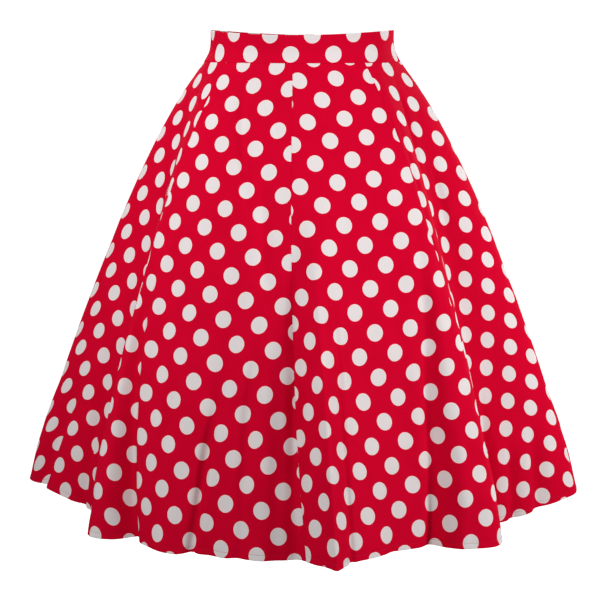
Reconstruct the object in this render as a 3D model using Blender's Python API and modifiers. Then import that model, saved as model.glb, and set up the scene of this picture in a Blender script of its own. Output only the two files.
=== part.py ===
"""An A-line skirt of eight gores on a straight waistband, filled out as when it is worn.

The waist is the origin, +Z is up, the front faces -Y, and lengths are in metres.
Left and right are those of someone who looks at the front, so left is -X.
Angles go round the skirt in degrees: 0 at the centre front, 90 at the right side seam.
"""

import math
from collections import namedtuple

import bmesh
import bpy
import numpy as np
from mathutils import Matrix

MM = 0.001

# Driving sizes
HEM_LENGTH = 0.634
CLOTH = 1.4 * MM
BAND_CLOTH = 2.0 * MM
SEAM_GAP = 0.3 * MM
BAND_TOP_FRONT = 15.5 * MM
BAND_TOP_SIDE = 21.5 * MM
BAND_BOTTOM = -19.0 * MM
GORE_COLUMNS = 20
GORE_ROWS = 14
BAND_COLUMNS_PER_QUARTER = 10
BAND_ROWS = 4

# The skirt's plan at some shares of its length from the waist seam
Section = namedtuple("Section", "share height half_width half_depth")
SKIRT_SECTIONS = (
    Section(0.000, BAND_BOTTOM, 0.1285, 0.1010),
    Section(0.080, -0.060, 0.1580, 0.1180),
    Section(0.154, -0.100, 0.1825, 0.1360),
    Section(0.244, -0.150, 0.2090, 0.1580),
    Section(0.349, -0.210, 0.2370, 0.1830),
    Section(0.469, -0.280, 0.2660, 0.2100),
    Section(0.605, -0.360, 0.2985, 0.2380),
    Section(0.756, -0.450, 0.3310, 0.2660),
    Section(0.890, -0.530, 0.3600, 0.2890),
    Section(1.000, -0.594, 0.3770, 0.3060),
)

# The waistband's plan at some shares of its height from the top edge
BAND_SECTIONS = (
    Section(0.00, BAND_TOP_SIDE, 0.1194, 0.0955),
    Section(0.35, 0.006, 0.1196, 0.0957),
    Section(0.65, -0.006, 0.1215, 0.0966),
    Section(1.00, BAND_BOTTOM, 0.1285, 0.1010),
)

# A fold stands out (or in) by depth at the hem, half_width degrees to each side of its
# middle. Its crest leans along the cloth by lean, and its hem hangs lower by drop.
Fold = namedtuple("Fold", "waist_angle hem_angle start depth half_width lean drop growth")
FOLDS = (
    Fold(-66, -61, 0.00, -0.084, 24, 0.030, 0.010, 0.9),
    Fold(-44, -37, 0.03, 0.000, 9, -0.004, 0.000, 1.0),
    Fold(-30, -29, 0.30, -0.016, 8, 0.000, 0.000, 1.0),
    Fold(-13, -13, 0.30, -0.010, 6, 0.000, 0.000, 1.0),
    Fold(-6, 1, 0.02, -0.008, 10, 0.000, 0.000, 0.7),
    Fold(12, 9, 0.25, 0.016, 7, 0.014, 0.000, 1.0),
    Fold(26, 28, 0.20, -0.034, 16, 0.000, 0.000, 1.0),
    Fold(46, 46, 0.05, 0.000, 9, 0.002, 0.000, 1.0),
    Fold(66, 65, 0.00, -0.080, 22, -0.028, 0.008, 0.9),
    Fold(88, 85, 0.45, -0.007, 17, 0.000, -0.010, 1.0),
    Fold(113, 114, 0.00, -0.064, 22, 0.018, 0.010, 0.9),
    Fold(137, 141, 0.08, 0.014, 12, -0.012, 0.000, 1.0),
    Fold(157, 158, 0.20, -0.026, 13, 0.000, 0.000, 1.0),
    Fold(178, 175, 0.10, 0.014, 12, -0.014, 0.000, 1.0),
    Fold(-160, -161, 0.20, -0.028, 14, 0.000, 0.000, 1.0),
    Fold(-139, -138, 0.08, 0.012, 11, 0.012, 0.000, 1.0),
    Fold(-114, -116, 0.00, -0.066, 23, -0.020, 0.010, 0.9),
    Fold(-86, -79, 0.50, -0.001, 14, 0.000, -0.010, 1.0),
)

# Where each seam meets the waist and the hem
Seam = namedtuple("Seam", "waist_angle hem_angle")
CENTRE_FRONT = Seam(0, 5)
PRINCESS_RIGHT = Seam(43, 51)
SIDE_RIGHT = Seam(90, 92)
BACK_PRINCESS_RIGHT = Seam(137, 137)
CENTRE_BACK = Seam(180, 179)
BACK_PRINCESS_LEFT = Seam(223, 223)
SIDE_LEFT = Seam(270, 268)
PRINCESS_LEFT = Seam(317, 314)
CENTRE_FRONT_AGAIN = Seam(360, 365)

# Gores in order round the skirt: name, first seam, second seam
GORES = (
    ("gore_front_right", CENTRE_FRONT, PRINCESS_RIGHT),
    ("gore_side_front_right", PRINCESS_RIGHT, SIDE_RIGHT),
    ("gore_side_back_right", SIDE_RIGHT, BACK_PRINCESS_RIGHT),
    ("gore_back_right", BACK_PRINCESS_RIGHT, CENTRE_BACK),
    ("gore_back_left", CENTRE_BACK, BACK_PRINCESS_LEFT),
    ("gore_side_back_left", BACK_PRINCESS_LEFT, SIDE_LEFT),
    ("gore_side_front_left", SIDE_LEFT, PRINCESS_LEFT),
    ("gore_front_left", PRINCESS_LEFT, CENTRE_FRONT_AGAIN),
)
BAND_PIECES = (
    ("waistband_front", -90, 90, 2 * BAND_COLUMNS_PER_QUARTER),
    ("waistband_back_right", 90, 180, BAND_COLUMNS_PER_QUARTER),
    ("waistband_back_left", 180, 270, BAND_COLUMNS_PER_QUARTER),
)

# The concealed zip in the centre-back seam
TAPE_WIDTH = 24 * MM
TAPE_THICK = 0.9 * MM
TAPE_GAP = 0.7 * MM
TAPE_LENGTH_IN_SKIRT = 0.160
TAPE_TOP = 9 * MM
SLIDER_WIDTH = 5.0 * MM
SLIDER_THICK = 2.2 * MM
SLIDER_HEIGHT = 9.0 * MM
SLIDER_MIDDLE = 9.5 * MM
ARCH_WIDTH = 1.4 * MM
ARCH_THICK = 0.9 * MM
ARCH_OPENING = 2.6 * MM
ARCH_SPAN = 7.0 * MM
PULL_WIDTH = 5.0 * MM
PULL_THICK = 1.2 * MM
PULL_LENGTH = 18.0 * MM
PULL_WINDOW_WIDTH = 2.6 * MM
PULL_WINDOW_LENGTH = 5.5 * MM
PULL_BAR = 1.2 * MM

RED = (0.66, 0.002, 0.018, 1.0)
ZIP_RED = (0.42, 0.004, 0.012, 1.0)
FINE_ROWS = 72
FINE_STEP = 0.5
FINE_START, FINE_END = -180, 540
SAMPLES_PER_COLUMN = 16
SHARP_EDGE = 50
TAPE_COLUMNS, TAPE_BAND_ROWS, TAPE_SKIRT_ROWS = 4, 3, 7


def smooth_column(sections, column, share):
    """Cubic curve through one column of a section table, read at a share."""
    shares = np.array([s.share for s in sections])
    values = np.array([getattr(s, column) for s in sections])
    spans = np.diff(shares)
    slopes = np.diff(values) / spans
    tangents = np.concatenate((slopes[:1], (slopes[:-1] + slopes[1:]) / 2, slopes[-1:]))
    k = int(np.clip(np.searchsorted(shares, share) - 1, 0, len(spans) - 1))
    t = (share - shares[k]) / spans[k]
    rise = t * t * (3 - 2 * t)
    leave = t * (1 - t) ** 2 * spans[k] * tangents[k]
    arrive = t * t * (t - 1) * spans[k] * tangents[k + 1]
    return values[k] + (values[k + 1] - values[k]) * rise + leave + arrive


def hump(x):
    """A smooth hump, 1 in the middle and 0 from -1 and 1 outwards."""
    return np.clip(1 - x * x, 0, None) ** 2


def ellipse(angles, half_width, half_depth):
    """Plan points and outward directions of an ellipse at angles in degrees."""
    turn = np.radians(angles)
    points = np.stack((half_width * np.sin(turn), -half_depth * np.cos(turn)), axis=-1)
    outward = np.stack((half_depth * np.sin(turn), -half_width * np.cos(turn)), axis=-1)
    return points, outward / np.linalg.norm(outward, axis=-1, keepdims=True)


def skirt_row(share, angles):
    """Points of the skirt's outer face round one row, folds included."""
    height, half_width, half_depth = (
        smooth_column(SKIRT_SECTIONS, column, share) for column in Section._fields[1:]
    )
    points, outward = ellipse(angles, half_width, half_depth)
    along = np.stack((-outward[:, 1], outward[:, 0]), axis=-1)
    out, lean, drop = np.zeros((3, len(angles)))
    for fold in FOLDS:
        if share <= fold.start:
            continue
        grown = ((share - fold.start) / (1 - fold.start)) ** fold.growth
        middle = fold.waist_angle + (fold.hem_angle - fold.waist_angle) * share
        away = (angles - middle + 180) % 360 - 180
        shape = grown * hump(away / fold.half_width)
        out += fold.depth * shape
        lean += fold.lean * shape
        drop += fold.drop * shape
    points = points + outward * out[:, None] + along * lean[:, None]
    return np.column_stack((points, height - drop))


def band_row(share, angles):
    """Points of the waistband's outer face round one row."""
    half_width, half_depth = (
        smooth_column(BAND_SECTIONS, column, share) for column in ("half_width", "half_depth")
    )
    points, _ = ellipse(angles, half_width, half_depth)
    top = BAND_TOP_FRONT + (BAND_TOP_SIDE - BAND_TOP_FRONT) * np.sin(np.radians(angles)) ** 2
    return np.column_stack((points, top + (BAND_BOTTOM - top) * share))


def fine_surface(row_function):
    """A close table of points and outward normals, rows by angles over two turns."""
    angles = np.arange(FINE_START, FINE_END + FINE_STEP / 2, FINE_STEP)
    shares = np.linspace(0, 1, FINE_ROWS + 1)
    points = np.array([row_function(share, angles) for share in shares])
    normals = np.cross(np.gradient(points, axis=0), np.gradient(points, axis=1))
    normals /= np.linalg.norm(normals, axis=-1, keepdims=True)
    return angles, np.concatenate((points, normals), axis=-1)


def read_row(surface, share, angles):
    """Points and normals of a fine surface at one share, at the given angles."""
    fine_angles, table = surface
    place = share * FINE_ROWS
    low = min(int(place), FINE_ROWS - 1)
    row = table[low] + (table[low + 1] - table[low]) * (place - low)
    return np.column_stack([np.interp(angles, fine_angles, row[:, c]) for c in range(6)])


def panel_points(surface, shares, edges, columns):
    """Points and normals of a panel whose columns are evenly spaced along each row."""
    grid = []
    for share in shares:
        first, last = edges(share)
        row = read_row(surface, share, np.linspace(first, last, SAMPLES_PER_COLUMN * columns + 1))
        steps = np.linalg.norm(np.diff(row[:, :3], axis=0), axis=1)
        run = np.concatenate(([0], np.cumsum(steps)))
        wanted = np.linspace(SEAM_GAP / 2, run[-1] - SEAM_GAP / 2, columns + 1)
        grid.append(np.column_stack([np.interp(wanted, run, row[:, c]) for c in range(6)]))
    return np.array(grid)


def wall(name, grid, inset, thick, material, collection):
    """A closed wall between two offsets inward from a grid of points and normals."""
    points, normals = grid[..., :3], grid[..., 3:]
    normals = normals / np.linalg.norm(normals, axis=-1, keepdims=True)
    mesh = bmesh.new()
    faces_of = []
    for offset in (inset, inset + thick):
        layer = points - normals * offset
        faces_of.append([[mesh.verts.new(p) for p in row] for row in layer])
    outer, inner = faces_of
    rows, columns = len(outer) - 1, len(outer[0]) - 1
    for r in range(rows):
        for c in range(columns):
            mesh.faces.new((outer[r][c], outer[r + 1][c], outer[r + 1][c + 1], outer[r][c + 1]))
            mesh.faces.new((inner[r][c], inner[r][c + 1], inner[r + 1][c + 1], inner[r + 1][c]))
    for r in range(rows):
        for c in (0, columns):
            mesh.faces.new((outer[r][c], outer[r + 1][c], inner[r + 1][c], inner[r][c]))
    for c in range(columns):
        for r in (0, rows):
            mesh.faces.new((outer[r][c], outer[r][c + 1], inner[r][c + 1], inner[r][c]))
    bmesh.ops.recalc_face_normals(mesh, faces=mesh.faces[:])
    data = bpy.data.meshes.new(name)
    mesh.to_mesh(data)
    mesh.free()
    data.materials.append(material)
    data.shade_smooth()
    data.set_sharp_from_angle(angle=math.radians(SHARP_EDGE))
    piece = bpy.data.objects.new(name, data)
    collection.objects.link(piece)
    return piece


def gores(surface, cloth, collection):
    """The eight gores, each from the waist seam to the hem."""
    shares = np.linspace(SEAM_GAP / HEM_LENGTH, 1, GORE_ROWS + 1)
    for name, first, second in GORES:
        def edges(share, first=first, second=second):
            return tuple(s.waist_angle + (s.hem_angle - s.waist_angle) * share for s in (first, second))
        grid = panel_points(surface, shares, edges, GORE_COLUMNS)
        wall(name, grid, 0, CLOTH, cloth, collection)


def waistband(surface, cloth, collection):
    """The band: one front piece, and two back pieces that meet at the zip."""
    shares = np.linspace(0, 1, BAND_ROWS + 1)
    for name, first, last, columns in BAND_PIECES:
        grid = panel_points(surface, shares, lambda share, ends=(first, last): ends, columns)
        wall(name, grid, 0, BAND_CLOTH, cloth, collection)


def zip_tape(band_surface, skirt_surface, cloth, collection):
    """The zip's tape, flat behind the centre-back seam of band and skirt."""
    def edges_of(surface, share):
        middle = read_row(surface, share, np.array([180.0]))[0]
        beside = read_row(surface, share, np.array([181.0]))[0]
        degrees = TAPE_WIDTH / 2 / np.linalg.norm(beside[:3] - middle[:3])
        return 180 - degrees, 180 + degrees

    band_height = BAND_TOP_FRONT - BAND_BOTTOM
    tape_start = (BAND_TOP_FRONT - TAPE_TOP) / band_height
    tape_end = TAPE_LENGTH_IN_SKIRT / HEM_LENGTH
    band_shares = np.linspace(tape_start, 1, TAPE_BAND_ROWS + 1)
    skirt_shares = np.linspace(0, tape_end, TAPE_SKIRT_ROWS + 1)[1:]
    upper = panel_points(band_surface, band_shares, lambda s: edges_of(band_surface, s), TAPE_COLUMNS)
    lower = panel_points(skirt_surface, skirt_shares, lambda s: edges_of(skirt_surface, s), TAPE_COLUMNS)
    grid = np.concatenate((upper, lower))
    wall("zip_tape", grid, BAND_CLOTH + TAPE_GAP, TAPE_THICK, cloth, collection)


def flat_piece(name, loops, thick):
    """A mesh object made by extruding closed outlines, drawn in the XY plane, along Z."""
    curve = bpy.data.curves.new(name, "CURVE")
    curve.dimensions = "2D"
    curve.fill_mode = "BOTH"
    curve.extrude = thick / 2
    for loop in loops:
        spline = curve.splines.new("POLY")
        spline.points.add(len(loop) - 1)
        spline.use_cyclic_u = True
        for point, (x, y) in zip(spline.points, loop):
            point.co = (x, y, 0, 1)
    drawn = bpy.data.objects.new(name + "_curve", curve)
    bpy.context.scene.collection.objects.link(drawn)
    bpy.context.view_layer.update()
    data = bpy.data.meshes.new_from_object(drawn.evaluated_get(bpy.context.evaluated_depsgraph_get()))
    bpy.data.objects.remove(drawn)
    mesh = bmesh.new()
    mesh.from_mesh(data)
    bmesh.ops.remove_doubles(mesh, verts=mesh.verts[:], dist=0.001 * MM)
    bmesh.ops.recalc_face_normals(mesh, faces=mesh.faces[:])
    mesh.to_mesh(data)
    mesh.free()
    data.name = name
    return bpy.data.objects.new(name, data)


def rounded_rectangle(left, bottom, right, top, radius, steps=4):
    """Corner points of a rectangle with round corners, in order."""
    corners = (
        (right - radius, top - radius, 0),
        (left + radius, top - radius, 90),
        (left + radius, bottom + radius, 180),
        (right - radius, bottom + radius, 270),
    )
    points = []
    for x, y, start in corners:
        for k in range(steps + 1):
            turn = math.radians(start + 90 * k / steps)
            points.append((x + radius * math.cos(turn), y + radius * math.sin(turn)))
    return points


def zip_slider(face, metal, collection):
    """The slider on the band's outer face: a block with an arch for the pull."""
    bpy.ops.mesh.primitive_cube_add(size=1)
    slider = bpy.context.object
    slider.name = slider.data.name = "zip_slider"
    slider.data.transform(Matrix.Diagonal((SLIDER_WIDTH, SLIDER_THICK, SLIDER_HEIGHT, 1)))
    slider.location = (0, face + SLIDER_THICK / 2, SLIDER_MIDDLE)
    for other in slider.users_collection:
        other.objects.unlink(slider)
    collection.objects.link(slider)
    slider.data.materials.append(metal)
    edge = slider.modifiers.new("rounded edges", "BEVEL")
    edge.width = 0.5 * MM
    edge.segments = 2
    outline = rounded_rectangle(
        -SLIDER_THICK / 2, -ARCH_SPAN / 2, ARCH_OPENING + ARCH_THICK, ARCH_SPAN / 2, 1.2 * MM
    )
    opening = rounded_rectangle(
        0, -ARCH_SPAN / 2 + ARCH_THICK, ARCH_OPENING, ARCH_SPAN / 2 - ARCH_THICK, 0.5 * MM
    )
    arch = flat_piece("zip_arch", (outline, opening), ARCH_WIDTH)
    arch.rotation_euler = (math.radians(90), 0, math.radians(90))
    arch.location = (0, face + SLIDER_THICK, SLIDER_MIDDLE)
    cutters = bpy.data.collections["zip_tools"]
    cutters.objects.link(arch)
    arch.hide_render = True
    arch.display_type = "WIRE"
    join = slider.modifiers.new("arch", "BOOLEAN")
    join.operation = "UNION"
    join.object = arch


def zip_pull(face, metal, collection):
    """The pull tab, hung through the arch on its top bar, free to swing about X."""
    axis = bpy.data.objects.new("pull_axis", None)
    axis.empty_display_size = 0.01
    axis.location = (0, face + SLIDER_THICK + ARCH_OPENING / 2, SLIDER_MIDDLE)
    collection.objects.link(axis)
    half_bar = PULL_BAR / 2
    outline = rounded_rectangle(
        -PULL_WIDTH / 2, -PULL_LENGTH, PULL_WIDTH / 2, half_bar, 0.5 * MM
    )
    window = rounded_rectangle(
        -PULL_WINDOW_WIDTH / 2, -PULL_WINDOW_LENGTH, PULL_WINDOW_WIDTH / 2, -half_bar, 0.4 * MM
    )
    pull = flat_piece("zip_pull", (outline, window), PULL_THICK)
    pull.parent = axis
    pull.rotation_euler = (math.radians(90), 0, 0)
    pull.data.materials.append(metal)
    collection.objects.link(pull)


def material(name, colour, roughness, metallic):
    """A plain Principled material."""
    made = bpy.data.materials.new(name)
    made.use_nodes = True
    shader = made.node_tree.nodes["Principled BSDF"]
    shader.inputs["Base Color"].default_value = colour
    shader.inputs["Roughness"].default_value = roughness
    shader.inputs["Metallic"].default_value = metallic
    made.diffuse_color = colour
    return made


def main():
    for thing in list(bpy.data.objects):
        bpy.data.objects.remove(thing)
    collection = bpy.data.collections.new("a_line_skirt")
    tools = bpy.data.collections.new("zip_tools")
    for made in (collection, tools):
        bpy.context.scene.collection.children.link(made)
    cloth = material("red cotton", RED, 0.85, 0.0)
    metal = material("red lacquered metal", ZIP_RED, 0.35, 0.0)
    skirt_surface = fine_surface(skirt_row)
    band_surface = fine_surface(band_row)
    gores(skirt_surface, cloth, collection)
    waistband(band_surface, cloth, collection)
    zip_tape(band_surface, skirt_surface, cloth, collection)
    share_below = (BAND_TOP_FRONT - SLIDER_MIDDLE + SLIDER_HEIGHT / 2) / (BAND_TOP_FRONT - BAND_BOTTOM)
    face = read_row(band_surface, share_below, np.array([180.0]))[0, 1] + SEAM_GAP
    zip_slider(face, metal, collection)
    zip_pull(face, metal, collection)


main()
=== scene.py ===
"""Looks of the A-line skirt: cut cloth sheets, print, stitches, zip, floor, lights and camera.

The frame's axes hold: origin at the waist, +Z up, the front faces -Y, lengths in metres.
Each piece of cloth is one thin sheet with its seam allowances and hem turned as sewn.
A place on the skirt is given by a share of the length from the waist seam (0) to the hem (1),
negative up the waistband, and by an angle in degrees: 0 centre front, 90 right side seam.
"""

import math
from collections import namedtuple

import bpy
import numpy as np
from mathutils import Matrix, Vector


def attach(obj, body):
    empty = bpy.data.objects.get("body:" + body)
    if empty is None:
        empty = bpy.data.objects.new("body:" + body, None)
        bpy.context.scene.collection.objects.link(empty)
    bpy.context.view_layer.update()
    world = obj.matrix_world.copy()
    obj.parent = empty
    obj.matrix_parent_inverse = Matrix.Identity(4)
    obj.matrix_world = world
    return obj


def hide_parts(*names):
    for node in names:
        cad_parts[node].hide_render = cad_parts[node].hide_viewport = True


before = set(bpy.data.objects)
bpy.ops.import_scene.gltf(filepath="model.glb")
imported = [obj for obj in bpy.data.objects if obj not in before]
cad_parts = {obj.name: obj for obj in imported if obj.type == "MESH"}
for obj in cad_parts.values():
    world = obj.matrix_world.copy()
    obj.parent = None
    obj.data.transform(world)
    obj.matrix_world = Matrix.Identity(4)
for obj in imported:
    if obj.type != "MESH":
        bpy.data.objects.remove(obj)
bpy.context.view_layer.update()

MM = 0.001
MAIN_BODY = "skirt"

# The form, as in the part's source
HEM_LENGTH = 0.634
TAPE_LENGTH_IN_SKIRT = 0.160
TAPE_WIDTH = 24 * MM
BAND_TOP_FRONT = 15.5 * MM
BAND_TOP_SIDE = 21.5 * MM
BAND_BOTTOM = -19.0 * MM
BAND_HEIGHT = BAND_TOP_FRONT - BAND_BOTTOM

Section = namedtuple("Section", "share height half_width half_depth")
SKIRT_SECTIONS = (
    Section(0.000, BAND_BOTTOM, 0.1285, 0.1010),
    Section(0.080, -0.060, 0.1580, 0.1180),
    Section(0.154, -0.100, 0.1825, 0.1360),
    Section(0.244, -0.150, 0.2090, 0.1580),
    Section(0.349, -0.210, 0.2370, 0.1830),
    Section(0.469, -0.280, 0.2660, 0.2100),
    Section(0.605, -0.360, 0.2985, 0.2380),
    Section(0.756, -0.450, 0.3310, 0.2660),
    Section(0.890, -0.530, 0.3600, 0.2890),
    Section(1.000, -0.594, 0.3770, 0.3060),
)
BAND_SECTIONS = (
    Section(0.00, BAND_TOP_SIDE, 0.1194, 0.0955),
    Section(0.35, 0.006, 0.1196, 0.0957),
    Section(0.65, -0.006, 0.1215, 0.0966),
    Section(1.00, BAND_BOTTOM, 0.1285, 0.1010),
)

# Large folds: angles, the share where one starts, depth (inward below 0), half its width in
# degrees, how far its cloth leans sideways and drops, and the power that it grows with
Fold = namedtuple("Fold", "waist_angle hem_angle start depth half_width lean drop growth")
FOLDS = (
    Fold(-66, -61, 0.00, -0.084, 24, 0.030, 0.010, 0.9),
    Fold(-44, -37, 0.03, 0.000, 9, -0.004, 0.000, 1.0),
    Fold(-30, -29, 0.30, -0.016, 8, 0.000, 0.000, 1.0),
    Fold(-13, -13, 0.30, -0.010, 6, 0.000, 0.000, 1.0),
    Fold(-6, 1, 0.02, -0.008, 10, 0.000, 0.000, 0.7),
    Fold(12, 9, 0.25, 0.016, 7, 0.014, 0.000, 1.0),
    Fold(26, 28, 0.20, -0.034, 16, 0.000, 0.000, 1.0),
    Fold(46, 46, 0.05, 0.000, 9, 0.002, 0.000, 1.0),
    Fold(66, 65, 0.00, -0.080, 22, -0.028, 0.008, 0.9),
    Fold(88, 85, 0.45, -0.007, 17, 0.000, -0.010, 1.0),
    Fold(113, 114, 0.00, -0.064, 22, 0.018, 0.010, 0.9),
    Fold(137, 141, 0.08, 0.014, 12, -0.012, 0.000, 1.0),
    Fold(157, 158, 0.20, -0.026, 13, 0.000, 0.000, 1.0),
    Fold(178, 175, 0.10, 0.014, 12, -0.014, 0.000, 1.0),
    Fold(-160, -161, 0.20, -0.028, 14, 0.000, 0.000, 1.0),
    Fold(-139, -138, 0.08, 0.012, 11, 0.012, 0.000, 1.0),
    Fold(-114, -116, 0.00, -0.066, 23, -0.020, 0.010, 0.9),
    Fold(-86, -79, 0.50, -0.001, 14, 0.000, -0.010, 1.0),
)

# Creases: a soft trough, or a ridge where depth is above 0, from one place to another
Crease = namedtuple("Crease", "angle_a share_a angle_b share_b depth half_width")
CREASES = (
    Crease(-40, 0.32, -38, 0.64, -4.0 * MM, 8 * MM),
    Crease(-41, 0.50, -30.5, 1.00, -20.0 * MM, 11 * MM),
    Crease(-29, 0.48, -26, 0.98, 8.0 * MM, 16 * MM),
    Crease(-47, 0.50, -41, 0.92, 3.4 * MM, 9 * MM),
    Crease(-53, 0.50, -50, 0.92, -3.6 * MM, 8 * MM),
    Crease(-14.5, 0.72, -16.2, 1.02, -10.5 * MM, 7 * MM),
    Crease(-7, 0.58, -7, 1.00, -6.5 * MM, 10 * MM),
    Crease(-3.5, 0.50, -2, 1.01, 4.0 * MM, 12 * MM),
    Crease(3.2, 0.44, 4.2, 1.02, -9.5 * MM, 9 * MM),
    Crease(8.0, 0.44, 9.2, 1.02, 11.5 * MM, 8 * MM),
    Crease(11.8, 0.50, 13.2, 1.01, -8.5 * MM, 7 * MM),
    Crease(-78, 0.76, -79, 1.01, -11.0 * MM, 8 * MM),
    Crease(-70.5, 0.66, -69.5, 1.00, -7.0 * MM, 7 * MM),
    Crease(-74, 0.60, -74, 0.98, 2.6 * MM, 9 * MM),
    Crease(-62, 0.30, -63, 0.80, -3.0 * MM, 11 * MM),
    Crease(41, 0.32, 38, 0.62, -4.4 * MM, 9 * MM),
    Crease(38.5, 0.48, 32, 1.01, -13.0 * MM, 12 * MM),
    Crease(27, 0.42, 24, 0.86, 3.4 * MM, 18 * MM),
    Crease(41, 0.70, 37, 1.01, 3.0 * MM, 9 * MM),
    Crease(24, 0.84, 23, 1.00, -3.0 * MM, 9 * MM),
    Crease(-24, 0.06, -13, 0.30, -2.8 * MM, 7 * MM),
    Crease(-9, 0.22, -3, 0.54, -2.6 * MM, 9 * MM),
    Crease(63, 0.06, 57, 0.30, -3.6 * MM, 7 * MM),
    Crease(57, 0.30, 52, 0.66, -3.6 * MM, 8 * MM),
    Crease(48, 0.12, 46, 0.42, -2.4 * MM, 6 * MM),
    Crease(72, 0.14, 68, 0.44, -3.0 * MM, 8 * MM),
    Crease(68, 0.74, 66, 1.00, -9.0 * MM, 8 * MM),
    Crease(61, 0.50, 56, 0.90, 2.8 * MM, 9 * MM),
    Crease(73, 0.84, 71.5, 1.01, -6.0 * MM, 7 * MM),
    Crease(79, 0.82, 77, 1.01, -9.0 * MM, 10 * MM),
    Crease(150, 0.45, 146, 0.85, -4.6 * MM, 10 * MM),
    Crease(165, 0.62, 170, 1.01, -9.0 * MM, 9 * MM),
    Crease(156, 0.58, 160, 0.98, 3.4 * MM, 12 * MM),
    Crease(118, 0.74, 124, 1.01, -7.5 * MM, 9 * MM),
    Crease(128, 0.30, 132, 0.62, -3.2 * MM, 9 * MM),
    Crease(-168, 0.54, -173, 1.01, -7.0 * MM, 10 * MM),
    Crease(-149, 0.66, -154, 1.01, -10.0 * MM, 9 * MM),
    Crease(-142, 0.46, -145, 0.88, 3.0 * MM, 11 * MM),
    Crease(-127, 0.36, -132, 0.76, -4.2 * MM, 9 * MM),
    Crease(-98, 0.78, -102, 1.01, -7.0 * MM, 9 * MM),
    Crease(101, 0.50, 105, 0.92, -4.4 * MM, 9 * MM),
)
# A crease is gone at this share of its length to either side of its middle
CREASE_FADE = 0.7

# How the print lies on a piece: the grain's turn from the piece's middle line and the skew
# of its rows in degrees, the bow of its rows per metre, and where a dot's middle lies
Print = namedtuple("Print", "turn skew bow across along")
Seam = namedtuple("Seam", "waist_angle hem_angle")
CENTRE_FRONT = Seam(0, 5)
PRINCESS_RIGHT = Seam(43, 51)
SIDE_RIGHT = Seam(90, 92)
BACK_PRINCESS_RIGHT = Seam(137, 137)
CENTRE_BACK = Seam(180, 179)
BACK_PRINCESS_LEFT = Seam(223, 223)
SIDE_LEFT = Seam(270, 268)
PRINCESS_LEFT = Seam(317, 314)
CENTRE_FRONT_AGAIN = Seam(360, 365)

Gore = namedtuple("Gore", "node first second print")
GORES = (
    Gore("gore_front_right", CENTRE_FRONT, PRINCESS_RIGHT, Print(0.4, -3.0, -0.06, 0.0024, 0.0207)),
    Gore("gore_side_front_right", PRINCESS_RIGHT, SIDE_RIGHT, Print(-20.7, -0.1, 2.05, -0.0588, 0.0043)),
    Gore("gore_side_back_right", SIDE_RIGHT, BACK_PRINCESS_RIGHT, Print(12, 0, 0, 0.0160, 0.0090)),
    Gore("gore_back_right", BACK_PRINCESS_RIGHT, CENTRE_BACK, Print(-3, 0, 0, 0.0080, 0.0210)),
    Gore("gore_back_left", CENTRE_BACK, BACK_PRINCESS_LEFT, Print(4, 0, 0, 0.0190, 0.0030)),
    Gore("gore_side_back_left", BACK_PRINCESS_LEFT, SIDE_LEFT, Print(-9, 0, 0, 0.0050, 0.0150)),
    Gore("gore_side_front_left", SIDE_LEFT, PRINCESS_LEFT, Print(7.2, 3.0, 4.46, 0.0190, 0.0007)),
    Gore("gore_front_left", PRINCESS_LEFT, CENTRE_FRONT_AGAIN, Print(-0.2, 3.7, -0.24, 0.0043, -0.0234)),
)

Band = namedtuple("Band", "node first_angle last_angle columns print")
BANDS = (
    Band("waistband_front", -90, 90, 120, Print(90, 0, 0, 0.0133, -0.0235)),
    Band("waistband_back_right", 90, 180, 60, Print(90, 0, 0, 0.0050, 0.0020)),
    Band("waistband_back_left", 180, 270, 60, Print(90, 0, 0, 0.0160, 0.0060)),
)

# The print: round dots in staggered rows
REPEAT_ACROSS = 46.5 * MM
REPEAT_ALONG = 53.6 * MM
DOT_RADIUS = 10.0 * MM
DOT_STRETCH = 1.05

# The cloth's own unevenness: size, waves round the skirt, radians from waist to hem, phase
Wave = namedtuple("Wave", "size round down phase")
WAVES = (
    Wave(0.55 * MM, 13, 3.6, 1.0),
    Wave(0.45 * MM, 21, -8.0, 2.3),
    Wave(0.34 * MM, 31, 14.0, 4.1),
    Wave(0.22 * MM, 19, -43.0, 1.7),
    Wave(0.18 * MM, 44, 22.0, 3.2),
    Wave(0.12 * MM, 59, -55.0, 5.3),
)
# The waves wander sideways by so many radians round the skirt, in slower waves round and down
Wander = namedtuple("Wander", "size round down")
WANDERS = (Wander(0.05, 7, 9), Wander(0.03, 3, -17))
WAVES_AT_WAIST = 0.1
WAVES_GROWTH = 1.2

# Cloth and its sewn edges
CLOTH = 0.30 * MM
LAYER_GAP = 0.05 * MM
PAIR_DEPTH = 2 * CLOTH + LAYER_GAP
FOLD_RADIUS = PAIR_DEPTH / 2
HEM_DEPTH = 3 * CLOTH + 2 * LAYER_GAP
HEM_TURN = 7.5 * MM
HEM_TUCK = 5.0 * MM
STITCH_INSET = 0.8 * MM
SEAM_ALLOWANCE = 10 * MM
TOP_ALLOWANCE = 7 * MM
BELOW_BAND = 0.8 * MM
BAND_THICK = 2.0 * MM
BAND_END_TURN = 6 * MM

# A gore's side allowances are trimmed to a share of their width at the waist and in the hem
TRIM_LEFT = 0.05
TRIM_AT_WAIST = 6 * MM
TRIM_AT_HEM = 10 * MM
TRIM_SLOPE = 4 * MM

# Columns and rows of a gore's sheet, with rows closer together in the zone of the hem
GORE_COLUMNS = 112
GORE_ROWS = 132
HEM_ROWS = 12
HEM_ZONE = 14 * MM
SAMPLES_PER_COLUMN = 12
ROW_MARGIN = 0.03

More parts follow.
